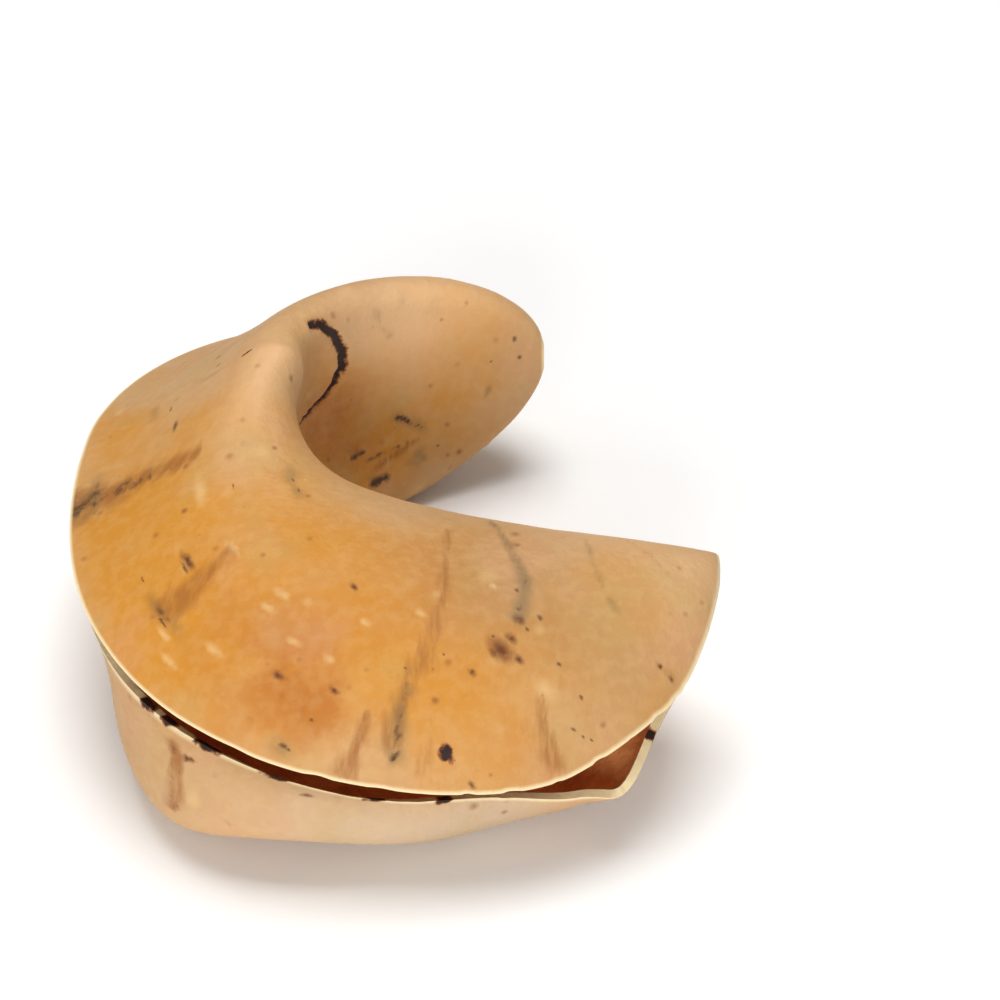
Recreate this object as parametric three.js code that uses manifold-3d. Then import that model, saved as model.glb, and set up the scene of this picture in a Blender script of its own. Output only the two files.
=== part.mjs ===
// A fortune cookie. One round baked wafer is folded in half, loosely, and then bent over a rim
// while it is still soft, so that the two ends of the fold become horns with a notch between.
// Millimetres, +Z up. The cookie lies on z = 0 and the notch opens towards +X.

import * as THREE from "three";
import { mergeVertices } from "three/addons/utils/BufferGeometryUtils.js";
import Module from "manifold-3d";

const degree = Math.PI / 180;

// The wafer as it was baked: a disc that thins towards its rim.
const wafer = { radius: 42, wall: 1.8, rimWall: 0.8, rimTaper: 8 };

// The bend. The fold is a diameter of the disc. It turns by `turn` on each side of `place`,
// most of it within `span`, and the ribs, which run from the fold to the rim, lean with it.
const bend = { place: 6.9, span: 9.4, turn: 75 * degree, ribLean: 1.23 };

// The cross-section along a rib. The wall stands up from the fold to `rise`, turns over within
// about `round`, and then curves down by `belly` to the rim. `notch` holds at the bend and
// `horn` away from it. The far horn takes its own shares of the near horn's sizes.
const notch = {
  rise: 16.9,
  round: 1.47,
  belly: -30 * degree,
  lean: 21 * degree,
  reach: 18.6,
  nearShare: 0.4,
};
const horn = { rise: 7.3, round: 2.1, belly: 61 * degree, farRise: 1.94, farRound: 0.57, farBlend: 5, tipRound: 0.35 };

// The under layer beside the upper one: its shares, how late its belly curves, and how much
// fuller that is around `place`.
const under = { rise: 0.77, farRise: 1.51, round: 1.06, belly: 1.64, late: 3.87 };
const fuller = { belly: -14 * degree, rise: -0.3, place: 0.2, reach: 20.5 };

// The under layer's outer wall: it turns up by `turn` at its foot, at a share `height` of the rib
// from the rim. Most of it at `place`, and it reaches further into the near horn.
const foot = { turn: 113 * degree, height: 0.26, round: 2.17, place: -5.8, nearReach: 17.2, farReach: 8.7 };

// Where the under layer sags: a swelling of its lower wall, which leaves the fold and the rim.
const swell = { out: 3.4, down: 3.4, place: 0.2, reach: 9.2, late: 3.32 };

// Where it is tucked in under the rim instead.
const tuck = { in: 4.5, place: 4.9, reach: 5, late: 6 };

// The slit between the two rims: half its height, how far the under rim stands back, how late
// along its line the under layer reaches out to it, and the most that either layer may rise or
// sink to its rim as a share of the rib.
const slit = { half: 1.01, recess: 0.42, late: 3, most: 0.9 };

// Where the near horn's rim rises, and how much flatter the under layer is there.
const mouth = { open: 1.4, place: -21, reach: 16.8, rise: -0.58, belly: -3 * degree };

// The mouth proper, where the under rim hangs away from the upper one.
const parting = { open: 3.15, place: -28.3, reach: 8.1 };

// The mouth's corner, where the under rim reaches out past the upper one.
const lip = { out: 2.4, place: -32, reach: 2.5, late: 4 };

// The near horn's end beyond it, where the slit closes and the under rim is tucked in, by no
// more than a share `most` of the rib.
const tip = { half: 1.1, in: 2.3, place: -34.8, blend: 1.3, most: 0.3 };

// How far the rims stand above the fold's own level, most at `place`, and never more than a
// share `most` of the rib.
const lift = { height: 3.2, place: 1.9, reach: 14.3, most: 0.7 };

// How the horns rise and twist about the fold, away from the bend.
const twist = { nearRise: 4.3, farRise: 1.7, near: -13 * degree, far: -10 * degree, full: 33.6 };

// How the cookie lies: turned from the bend's own frame, then cut flat where it touches.
const rest = { roll: 2 * degree, pitch: 1.4 * degree, yaw: -2.2 * degree, flat: 0.2 };

// Mesh steps. The ribs are evenly spaced in angle from horn to horn.
const mesh = { ribs: 60, ribSteps: 20, lineSteps: 160, foldSteps: 200, endAngle: 87 * degree };

// How the turn-over of a rib is found: between which angles, and in how many halvings.
const search = { low: -10 * degree, high: 160 * degree, halvings: 24 };

// The pocket between the layers: the least room that it needs, and its least depth.
const pocket = { clear: 0.15, depth: 3 };

const crust = { name: "crust", color: 0xd9a05b, roughness: 0.62 };

function logistic(x) {
  return 1 / (1 + Math.exp(-x));
}

function bump(at, place, reach) {
  return Math.exp(-(((at - place) / reach) ** 2));
}

// The direction of the fold at a distance from its middle.
function foldBearing(at) {
  const away = (at - bend.place) / bend.span;
  return (bend.turn * away) / Math.hypot(1, away);
}

// The fold's curve in plan, walked in small steps from the bend.
function foldPoint(at) {
  const step = (at - bend.place) / mesh.foldSteps;
  const point = new THREE.Vector2();
  for (let k = 0; k < mesh.foldSteps; k += 1) {
    const bearing = foldBearing(bend.place + step * (k + 0.5));
    point.x += Math.sin(bearing) * step;
    point.y += Math.cos(bearing) * step;
  }
  return point;
}

// One layer's line along a rib, in fine steps: `out` is the distance from the fold and `up` the
// height over it. The turn-over is found by halving, so that the line comes to `end` there.
function ribLine({ length, rise, round, lean, belly, late, end, footTurn = 0 }) {
  const step = length / mesh.lineSteps;
  const start = logistic(-rise / round);
  function slope(at, turnOver) {
    const turned = (logistic((at - rise) / round) - start) / (1 - start);
    const leaning = lean * Math.sin(Math.PI * Math.min(at / rise, 1));
    const past = Math.max(at - rise, 0) / (length - rise);
    const upTurned = footTurn * logistic((at - length * (1 - foot.height)) / foot.round);
    return Math.PI / 2 + leaning - belly * past ** late - upTurned - turnOver * turned;
  }
  function walk(turnOver) {
    const line = [{ out: 0, up: 0 }];
    for (let k = 1; k <= mesh.lineSteps; k += 1) {
      const { out, up } = line[k - 1];
      const angle = slope((k - 0.5) * step, turnOver);
      line.push({ out: out + Math.cos(angle) * step, up: up + Math.sin(angle) * step });
    }
    return line;
  }
  let { low, high } = search;
  for (let k = 0; k < search.halvings; k += 1) {
    const middle = (low + high) / 2;
    if (walk(middle)[mesh.lineSteps].up > end) low = middle;
    else high = middle;
  }
  return walk((low + high) / 2);
}

// Stretches the under layer's line so that its rim meets the upper rim where the slit is shut,
// and swells it where it sags.
function fitUnder(at, length, upper, lower) {
  const last = mesh.lineSteps;
  const shut = 1 - bump(at, parting.place, parting.reach);
  const stretch = (upper[last].out - slit.recess - lower[last].out) * shut;
  const swollen = bump(at, swell.place, swell.reach);
  const tucked = bump(at, tuck.place, tuck.reach);
  const tucking = tip.in * logistic((tip.place - at) / tip.blend);
  const lipped = lip.out * bump(at, lip.place, lip.reach) - Math.min(tucking, tip.most * length);
  lower.forEach((point, k) => {
    const along = k / last;
    const amount = swollen * Math.sin(Math.PI * along ** swell.late);
    const inward = tuck.in * tucked * Math.sin(Math.PI * along ** tuck.late);
    point.out += stretch * along ** slit.late + lipped * along ** lip.late + swell.out * amount - inward;
    point.up += swell.down * amount;
  });
}

// Both layers' lines at one rib, with all that varies along the fold.
function makeRib(angle) {
  const at = wafer.radius * Math.sin(angle);
  const length = wafer.radius * Math.cos(angle);
  const share = Math.cos(angle);
  const away = at - bend.place;
  const near = bump(away, 0, away < 0 ? notch.reach * notch.nearShare : notch.reach);
  const far = logistic(away / horn.farBlend);
  const { lerp, clamp } = THREE.MathUtils;
  const rise = lerp(horn.rise * lerp(1, horn.farRise, far) * share, notch.rise, near);
  const round = lerp(horn.round * lerp(1, horn.farRound, far) * lerp(horn.tipRound, 1, share), notch.round, near);
  const belly = lerp(horn.belly, notch.belly, near);
  const lean = notch.lean * near;
  const opened = bump(at, mouth.place, mouth.reach);
  const ended = logistic((tip.place - at) / tip.blend);
  const most = slit.most * length;
  const openHalf = slit.half + mouth.open * opened;
  const hangingHalf = 2 * slit.half - openHalf + parting.open * bump(at, parting.place, parting.reach);
  const half = Math.min(lerp(openHalf, tip.half, ended), most);
  const underHalf = clamp(lerp(hangingHalf, tip.half, ended), -most, most);
  const limit = lift.most * length;
  const raised = clamp(lift.height * bump(at, lift.place, lift.reach), -limit, limit);
  const full = bump(at, fuller.place, fuller.reach);
  const upper = ribLine({ length, rise, round, lean, belly, late: 1, end: half + raised });
  const lower = ribLine({
    length,
    rise: rise * (under.rise + fuller.rise * full) * lerp(1, under.farRise, far) * (1 + mouth.rise * opened),
    round: round * under.round,
    lean,
    belly: belly * under.belly + fuller.belly * full + mouth.belly * opened,
    late: under.late,
    end: underHalf - raised,
    footTurn: foot.turn * bump(at, foot.place, at < foot.place ? foot.nearReach : foot.farReach),
  });
  fitUnder(at, length, upper, lower);
  return { at, length, away, upper, lower };
}

// The wafer's thickness at a distance from its rim.
function wallAt(fromRim) {
  const share = THREE.MathUtils.smoothstep(fromRim, 0, wafer.rimTaper);
  return THREE.MathUtils.lerp(wafer.rimWall, wafer.wall, share);
}

// A layer's inner face, one wall inside its outer line.
function innerLine(line, length) {
  return line.map(({ out, up }, k) => {
    const before = line[Math.max(k - 1, 0)];
    const after = line[Math.min(k + 1, mesh.lineSteps)];
    const slope = Math.atan2(after.up - before.up, after.out - before.out);
    const wall = wallAt(length * (1 - k / mesh.lineSteps));
    return { out: out + Math.sin(slope) * wall, up: up - Math.cos(slope) * wall };
  });
}

// The step along a rib from which the layers' inner faces keep clear of each other.
function pocketStart(upper, lower) {
  let k = mesh.lineSteps;
  while (k > 0 && upper[k].up + lower[k].up > pocket.clear) k -= 1;
  return k;
}

// Evenly spaced points of a line, from a step along it to its end.
function sample(line, start) {
  const picked = [];
  for (let j = 0; j <= mesh.ribSteps; j += 1) {
    const at = THREE.MathUtils.lerp(start, mesh.lineSteps, j / mesh.ribSteps);
    const k = Math.min(Math.floor(at), mesh.lineSteps - 1);
    const part = at - k;
    const out = THREE.MathUtils.lerp(line[k].out, line[k + 1].out, part);
    const up = THREE.MathUtils.lerp(line[k].up, line[k + 1].up, part);
    picked.push({ out, up });
  }
  return picked;
}

// One closed run round a rib's section: up one layer's line from its rim to the fold, and back
// along the other layer to its rim.
function rimToRim(upper, lower, start) {
  const above = sample(upper, start).map(({ out, up }) => ({ out, up }));
  const below = sample(lower, start).map(({ out, up }) => ({ out, up: -up }));
  const fold = { out: (above[0].out + below[0].out) / 2, up: (above[0].up + below[0].up) / 2 };
  return [...above.slice(1).reverse(), fold, ...below.slice(1)];
}

// Sets a rib's flat points into the cookie.
function placeRib(rib, line) {
  const origin = foldPoint(rib.at);
  const bearing = foldBearing(rib.at) * bend.ribLean;
  const share = THREE.MathUtils.clamp(rib.away / twist.full, -1, 1);
  const angle = Math.abs(share) * (share < 0 ? twist.near : twist.far);
  const raise = (share < 0 ? twist.nearRise : twist.farRise) * (rib.away / wafer.radius) ** 2;
  return line.map(({ out, up }) => {
    const outward = out * Math.cos(angle) - up * Math.sin(angle);
    const x = origin.x - Math.cos(bearing) * outward;
    const y = origin.y + Math.sin(bearing) * outward;
    const z = out * Math.sin(angle) + up * Math.cos(angle) + raise;
    return new THREE.Vector3(x, y, z);
  });
}

// The wafer as one closed body: rows of point numbers, joined into faces that face outwards.
function makeWafer() {
  const points = [];
  const faces = [];
  function addRow(line) {
    return line.map((point) => points.push(point) - 1);
  }
  function joinRows(first, second) {
    for (let k = 1; k < first.length; k += 1) {
      faces.push([first[k - 1], first[k], second[k]]);
      faces.push([first[k - 1], second[k], second[k - 1]]);
    }
  }
  function fillFan(loop) {
    for (let k = 2; k < loop.length; k += 1) faces.push([loop[0], loop[k - 1], loop[k]]);
  }
  const ribs = [];
  for (let i = 0; i <= mesh.ribs; i += 1) {
    ribs.push(makeRib(THREE.MathUtils.lerp(-mesh.endAngle, mesh.endAngle, i / mesh.ribs)));
  }
  const outer = [];
  const inner = [];
  for (const rib of ribs) {
    outer.push(addRow(placeRib(rib, rimToRim(rib.upper, rib.lower, 0))));
    const upper = innerLine(rib.upper, rib.length);
    const lower = innerLine(rib.lower, rib.length);
    const start = pocketStart(upper, lower);
    const depth = rib.length * (1 - start / mesh.lineSteps);
    inner.push(depth > pocket.depth ? addRow(placeRib(rib, rimToRim(upper, lower, start))) : null);
  }
  const half = mesh.ribSteps;
  const last = 2 * half;
  // The end of a section is filled between its two layers, the fold at the middle of the row.
  function fillSection(row) {
    for (let k = 1; k <= half; k += 1) {
      const a = row[half - k + 1];
      const b = row[half - k];
      const c = row[half + k];
      const d = row[half + k - 1];
      if (k > 1) faces.push([a, c, d]);
      faces.push([a, b, c]);
    }
  }
  fillSection(outer[0]);
  fillSection([...outer[mesh.ribs]].reverse());
  for (let i = 0; i < mesh.ribs; i += 1) {
    const [hereOut, nextOut, hereIn, nextIn] = [outer[i], outer[i + 1], inner[i], inner[i + 1]];
    joinRows(hereOut, nextOut);
    if (hereIn && nextIn) {
      joinRows(nextIn, hereIn);
      joinRows([hereIn[0], hereOut[0]], [nextIn[0], nextOut[0]]);
      joinRows([hereOut[last], hereIn[last]], [nextOut[last], nextIn[last]]);
    } else if (nextIn) {
      fillFan([hereOut[0], nextOut[0], nextIn[0], nextIn[last], nextOut[last], hereOut[last]]);
      fillSection([...nextIn].reverse());
    } else if (hereIn) {
      fillFan([nextOut[last], hereOut[last], hereIn[last], hereIn[0], hereOut[0], nextOut[0]]);
      fillSection(hereIn);
    } else {
      fillFan([hereOut[0], nextOut[0], nextOut[last], hereOut[last]]);
    }
  }
  const geometry = new THREE.BufferGeometry().setFromPoints(points);
  geometry.setIndex(faces.flat());
  return geometry;
}

// Turns the cookie as it lies, stands its lowest point `flat` below the floor, and centres it.
function layDown(geometry) {
  const turn = new THREE.Euler(rest.roll, rest.pitch, rest.yaw, "ZYX");
  geometry.applyMatrix4(new THREE.Matrix4().makeRotationFromEuler(turn));
  geometry.computeBoundingBox();
  const { min, max } = geometry.boundingBox;
  geometry.translate(-(min.x + max.x) / 2, -(min.y + max.y) / 2, -min.z - rest.flat);
  return geometry;
}

const wasm = await Module();
wasm.setup();

function toSolid(geometry) {
  geometry.deleteAttribute("normal");
  geometry.deleteAttribute("uv");
  const merged = mergeVertices(geometry);
  const vertProperties = Float32Array.from(merged.attributes.position.array);
  const triVerts = Uint32Array.from(merged.index.array);
  return new wasm.Manifold(new wasm.Mesh({ numProp: 3, vertProperties, triVerts }));
}

function toGeometry(solid) {
  const { vertProperties, triVerts } = solid.getMesh();
  const geometry = new THREE.BufferGeometry();
  geometry.setAttribute("position", new THREE.BufferAttribute(vertProperties, 3));
  geometry.setIndex(new THREE.BufferAttribute(triVerts, 1));
  geometry.computeVertexNormals();
  return geometry;
}

// The floor cuts a small flat spot where the cookie touches it.
function makeCookie() {
  const body = toSolid(layDown(makeWafer()));
  const side = 4 * wafer.radius;
  const floor = toSolid(new THREE.BoxGeometry(side, side, side).translate(0, 0, -side / 2));
  return toGeometry(body.subtract(floor));
}

const material = new THREE.MeshStandardMaterial({ color: crust.color, roughness: crust.roughness });
material.name = crust.name;
const cookie = new THREE.Mesh(makeCookie(), material);
cookie.name = "cookie";

const group = new THREE.Group();
group.name = "fortune_cookie";
group.add(cookie);

export default group;
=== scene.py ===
# A fortune cookie on a pale table. The wafer starts as the flat disc it was baked as. Its rim, its
# blisters and its burn marks are placed while it is flat, and then it is folded and bent.
import math

import bpy
import numpy as np
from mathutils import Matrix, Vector, noise


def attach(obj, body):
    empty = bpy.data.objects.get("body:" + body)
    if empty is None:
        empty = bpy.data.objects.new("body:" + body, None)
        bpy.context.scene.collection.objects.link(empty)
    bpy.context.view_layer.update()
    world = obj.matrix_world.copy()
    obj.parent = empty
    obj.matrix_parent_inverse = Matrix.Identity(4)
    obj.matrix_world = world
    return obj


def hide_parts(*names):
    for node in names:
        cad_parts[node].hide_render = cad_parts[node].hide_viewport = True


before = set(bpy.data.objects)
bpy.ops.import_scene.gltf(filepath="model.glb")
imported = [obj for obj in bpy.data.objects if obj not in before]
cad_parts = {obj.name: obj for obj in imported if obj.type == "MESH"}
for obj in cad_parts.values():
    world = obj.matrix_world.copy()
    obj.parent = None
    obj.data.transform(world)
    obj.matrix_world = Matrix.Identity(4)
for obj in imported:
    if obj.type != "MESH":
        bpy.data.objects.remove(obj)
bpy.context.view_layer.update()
mm = 0.001

# The wafer's own coordinates are in millimetres on the flat disc: `along` runs along the fold, from
# the near horn (negative) to the far horn, and `across` runs over it, from the under layer's rim
# (negative) to the upper layer's rim.
wafer = {
    "radius": 42.0,
    "cells": 214,  # grid cells a side
    "rimCrowding": 0.2,  # how much finer the cells get towards the rim
    "wall": 1.6,
    "rimWall": 0.75,
    "rimTaper": 8.0,
    "tipWall": 0.3,  # at the very ends of the fold
    "tipTaper": 12.0,
    "smoothAngle": 50,
}
# All angles are in degrees. The fold turns on each side of `place`, and its ribs lean with it.
bend = {"place": 6.9, "span": 9.4, "turn": 75, "ribLean": 1.23}
# The cross-section along a rib: it stands up to `rise`, turns over within about `round`, and curves
# by `belly` to the rim. `notch` holds at the bend and `horn` away from it.
notch = {"rise": 16.9, "round": 1.47, "belly": -30, "lean": 21, "reach": 18.6, "nearShare": 0.4}
horn = {
    "rise": 7.3,
    "round": 2.1,
    "belly": 61,
    "farRise": 1.94,
    "farRound": 0.57,
    "farBlend": 5,
    "tipRound": 0.35,
}
# The under layer: its shares of those sizes, where it is fuller, where its outer wall turns up,
# where it sags, and where it is tucked in.
under = {"rise": 0.77, "farRise": 1.51, "round": 1.06, "belly": 1.64, "late": 3.87}
fuller = {"belly": -14, "rise": -0.3, "place": 0.2, "reach": 20.5}
foot = {"turn": 113, "height": 0.26, "round": 2.17, "place": -5.8, "nearReach": 17.2, "farReach": 8.7}
swell = {"out": 3.4, "down": 3.4, "place": 0.2, "reach": 9.2, "late": 3.32}
tuck = {"in": 4.5, "place": 4.9, "reach": 5, "late": 6}
# The slit between the two rims, where it opens into a mouth on the near horn, where the under rim
# hangs away and reaches out past the upper one, and the near horn's end beyond.
slit = {"half": 1.01, "recess": 0.42, "late": 3, "most": 0.9}
mouth = {"open": 1.4, "place": -21, "reach": 16.8, "rise": -0.58, "belly": -3}
parting = {"open": 3.15, "place": -28.3, "reach": 8.1}
lip = {"out": 2.4, "place": -32, "reach": 2.5, "late": 4}
tip = {"half": 1.1, "in": 2.3, "place": -34.8, "blend": 1.3, "most": 0.3}
# How far the rims stand above the fold, how the horns rise and twist, and how the cookie lies.
lift = {"height": 3.2, "place": 1.9, "reach": 14.3, "most": 0.7}
twist = {"nearRise": 4.3, "farRise": 1.7, "near": -13, "far": -10, "full": 33.6}
rest = {"roll": 2, "pitch": 1.4, "yaw": -2.2, "flat": 0.2}

# The tables that the folding is looked up in: their steps, and the shortest rib as a share of the
# radius.
tableSteps = {"ribs": 720, "line": 320, "fold": 4000, "shortestRib": 0.004}
# How the turn-over of a rib is found: between which angles, and in how many halvings.
search = {"low": -10, "high": 160, "halvings": 30}
tiny = 1e-6  # keeps a length of nothing from dividing
steepest = 60  # past this an exponential makes no difference


def logistic(x):
    return 1 / (1 + np.exp(-np.clip(x, -steepest, steepest)))


def bump(at, place, reach):
    return np.exp(-(((at - place) / reach) ** 2))


def mix(first, second, share):
    return first + (second - first) * share


def smoothStep(low, high, x):
    t = np.clip((x - low) / (high - low), 0, 1)
    return t * t * (3 - 2 * t)


def foldBearing(at):
    away = (at - bend["place"]) / bend["span"]
    return math.radians(bend["turn"]) * away / np.hypot(1, away)


# The fold's curve in plan, with its zero at the bend.
def foldCurve(at):
    fine = np.linspace(-wafer["radius"], wafer["radius"], tableSteps["fold"] + 1)
    middle = (fine[1:] + fine[:-1]) / 2
    step = fine[1] - fine[0]
    bearing = foldBearing(middle)
    x = np.concatenate([[0], np.cumsum(np.sin(bearing))]) * step
    y = np.concatenate([[0], np.cumsum(np.cos(bearing))]) * step
    x -= np.interp(bend["place"], fine, x)
    y -= np.interp(bend["place"], fine, y)
    return np.interp(at, fine, x), np.interp(at, fine, y)


# One layer's cross-sections, a row for each rib. The turn-over is found by halving, so that each
# line comes to `end` at the rim.
def ribLines(length, rise, rounding, lean, belly, late, end, footTurn=0.0):
    steps = tableSteps["line"]
    length, rise, rounding, lean, belly, end, footTurn = (
        np.broadcast_to(v, length.shape)[:, None]
        for v in (length, rise, rounding, lean, belly, end, footTurn)
    )
    at = (np.arange(steps) + 0.5) / steps * length
    start = logistic(-rise / rounding)
    turned = (logistic((at - rise) / rounding) - start) / (1 - start)
    leaning = lean * np.sin(np.pi * np.minimum(at / rise, 1))
    past = np.maximum(at - rise, 0) / (length - rise)
    upTurned = footTurn * logistic((at - length * (1 - foot["height"])) / foot["round"])
    upright = math.pi / 2 + leaning - belly * past**late - upTurned
    low = np.full(length.shape, math.radians(search["low"]))
    high = np.full(length.shape, math.radians(search["high"]))
    for _ in range(search["halvings"]):
        middle = (low + high) / 2
        top = np.sin(upright - middle * turned).sum(1, keepdims=True) * length / steps
        low = np.where(top > end, middle, low)
        high = np.where(top > end, high, middle)
    slope = upright - (low + high) / 2 * turned
    nothing = np.zeros(length.shape)
    out = np.hstack([nothing, np.cumsum(np.cos(slope), 1) * length / steps])
    up = np.hstack([nothing, np.cumsum(np.sin(slope), 1) * length / steps])
    return out, up


# Both layers' cross-sections, from the near horn's tip to the far horn's.
def makeRibs():
    angle = np.radians(np.linspace(-90, 90, tableSteps["ribs"] + 1))
    at = wafer["radius"] * np.sin(angle)
    share = np.maximum(np.cos(angle), tableSteps["shortestRib"])
    length = wafer["radius"] * share
    away = at - bend["place"]
    near = bump(away, 0, np.where(away < 0, notch["reach"] * notch["nearShare"], notch["reach"]))
    far = logistic(away / horn["farBlend"])
    rise = mix(horn["rise"] * mix(1, horn["farRise"], far) * share, notch["rise"], near)
    hornRound = horn["round"] * mix(1, horn["farRound"], far) * mix(horn["tipRound"], 1, share)
    rounding = mix(hornRound, notch["round"], near)
    belly = mix(horn["belly"], notch["belly"], near)
    lean = np.radians(notch["lean"]) * near
    opened = bump(at, mouth["place"], mouth["reach"])
    ended = logistic((tip["place"] - at) / tip["blend"])
    parted = bump(at, parting["place"], parting["reach"])
    most = slit["most"] * length
    openHalf = slit["half"] + mouth["open"] * opened
    hangingHalf = 2 * slit["half"] - openHalf + parting["open"] * parted
    half = np.minimum(mix(openHalf, tip["half"], ended), most)
    underHalf = np.clip(mix(hangingHalf, tip["half"], ended), -most, most)
    limit = lift["most"] * length
    raised = np.clip(lift["height"] * bump(at, lift["place"], lift["reach"]), -limit, limit)
    full = bump(at, fuller["place"], fuller["reach"])
    upper = ribLines(length, rise, rounding, lean, np.radians(belly), 1, half + raised)
    underRise = rise * (under["rise"] + fuller["rise"] * full) * mix(1, under["farRise"], far)
    underBelly = belly * under["belly"] + fuller["belly"] * full + mouth["belly"] * opened
    out, up = ribLines(
        length,
        underRise * (1 + mouth["rise"] * opened),
        rounding * under["round"],
        lean,
        np.radians(underBelly),
        under["late"],
        underHalf - raised,
        np.radians(foot["turn"])
        * bump(at, foot["place"], np.where(at < foot["place"], foot["nearReach"], foot["farReach"])),
    )
    along = np.linspace(0, 1, tableSteps["line"] + 1)
    stretch = (upper[0][:, -1] - slit["recess"] - out[:, -1]) * (1 - parted)
    swollen = bump(at, swell["place"], swell["reach"])[:, None] * np.sin(np.pi * along ** swell["late"])
    tucked = bump(at, tuck["place"], tuck["reach"])[:, None] * np.sin(np.pi * along ** tuck["late"])
    tucking = np.minimum(tip["in"] * ended, tip["most"] * length)
    lipped = lip["out"] * bump(at, lip["place"], lip["reach"]) - tucking
    out = out + stretch[:, None] * along ** slit["late"] + lipped[:, None] * along ** lip["late"]
    out = out + swell["out"] * swollen - tuck["in"] * tucked
    up = up + swell["down"] * swollen
    return upper, (out, up)


def lookUp(tableOf, row, column):
    r = np.clip(row.astype(int), 0, tableOf.shape[0] - 2)
    c = np.clip(column.astype(int), 0, tableOf.shape[1] - 2)
    fr, fc = row - r, column - c
    first = mix(tableOf[r, c], tableOf[r, c + 1], fc)
    second = mix(tableOf[r + 1, c], tableOf[r + 1, c + 1], fc)
    return mix(first, second, fr)


# Where each point of the flat disc goes when the wafer is folded, bent and laid down.
def foldWafer(along, across):
    upper, lower = makeRibs()
    angle = np.arcsin(np.clip(along / wafer["radius"], -1, 1))
    row = (angle / math.pi + 0.5) * tableSteps["ribs"]
    rib = np.maximum(wafer["radius"] * np.cos(angle), tiny)
    column = np.clip(np.abs(across) / rib, 0, 1) * tableSteps["line"]
    over = across > 0
    out = np.where(over, lookUp(upper[0], row, column), lookUp(lower[0], row, column))
    up = np.where(over, lookUp(upper[1], row, column), -lookUp(lower[1], row, column))
    away = along - bend["place"]
    share = np.clip(away / twist["full"], -1, 1)
    turn = np.radians(np.where(share < 0, -share * twist["near"], share * twist["far"]))
    raised = np.where(share < 0, twist["nearRise"], twist["farRise"]) * (away / wafer["radius"]) ** 2
    outward = out * np.cos(turn) - up * np.sin(turn)
    z = out * np.sin(turn) + up * np.cos(turn) + raised
    bearing = foldBearing(along) * bend["ribLean"]
    x, y = foldCurve(along)
    points = np.stack([x - np.cos(bearing) * outward, y + np.sin(bearing) * outward, z], 1)
    return layDown(points)


# Turned as it rests, centred over the frame's origin, its lowest point a little under the table top.
def layDown(points):
    a, b, c = (math.radians(rest[k]) for k in ("roll", "pitch", "yaw"))
    roll = np.array([[1, 0, 0], [0, math.cos(a), -math.sin(a)], [0, math.sin(a), math.cos(a)]])
    pitch = np.array([[math.cos(b), 0, math.sin(b)], [0, 1, 0], [-math.sin(b), 0, math.cos(b)]])
    yaw = np.array([[math.cos(c), -math.sin(c), 0], [math.sin(c), math.cos(c), 0], [0, 0, 1]])
    points = points @ (yaw @ pitch @ roll).T
    low, high = points.min(0), points.max(0)
    return points - [(low[0] + high[0]) / 2, (low[1] + high[1]) / 2, low[2] + rest["flat"]]


def deselectAll():
    bpy.ops.object.select_all(action="DESELECT")


def makeActive(piece):
    deselectAll()
    piece.select_set(True)
    bpy.context.view_layer.objects.active = piece


def applyModifiers(piece):
    makeActive(piece)
    for modifier in list(piece.modifiers):
        bpy.ops.object.modifier_apply(modifier=modifier.name)


def readPoints(piece):
    flat = np.empty(len(piece.data.vertices) * 3)
    piece.data.vertices.foreach_get("co", flat)
    return flat.reshape(-1, 3)


def writePoints(piece, points):
    piece.data.vertices.foreach_set("co", points.ravel())
    piece.data.update()


def readNormals(piece):
    flat = np.empty(len(piece.data.vertices) * 3)
    piece.data.vertex_normals.foreach_get("vector", flat)
    return flat.reshape(-1, 3)


def addAttribute(piece, name, values):
    attribute = piece.data.attributes.new(name, "FLOAT", "POINT")
    attribute.data.foreach_set("value", np.ascontiguousarray(values, dtype=np.float32))


# A square grid is drawn into a disc, with its cells crowding towards the rim.
def makeFlatWafer():
    bpy.ops.mesh.primitive_grid_add(
        x_subdivisions=wafer["cells"], y_subdivisions=wafer["cells"], size=2, location=(0, 0, 0)
    )
    piece = bpy.context.active_object
    piece.name = "waferShell"
    square = readPoints(piece)
    k = wafer["rimCrowding"]
    a, b = (square[:, i] * (1 + k) - k * square[:, i] ** 3 for i in (0, 1))
    along = a * np.sqrt(1 - b * b / 2) * wafer["radius"]
    across = b * np.sqrt(1 - a * a / 2) * wafer["radius"]
    return piece, along, across


# What marks the skin, in the disc's own coordinates. A path is [(along, across), ...] in millimetres.
# Each burn has a path, its half width at the start and at the end, and how strong it is.
burns = [
    ([(14, 15), (15.7, 14.1), (17.4, 12), (18.6, 9.1), (18.5, 6.6)], 0.44, 0.6, 1.0),
    ([(17.9, 6.6), (17.5, 5), (16.2, 3.9), (14.4, 3.2), (12.6, 2.4)], 0.42, 0.26, 0.95),
    ([(7.1, 21.7), (7, 20.4)], 0.2, 0.1, 0.8),
    ([(-17.1, 34.4), (-17.2, 34.9)], 0.55, 0.55, 1.0),
]
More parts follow.
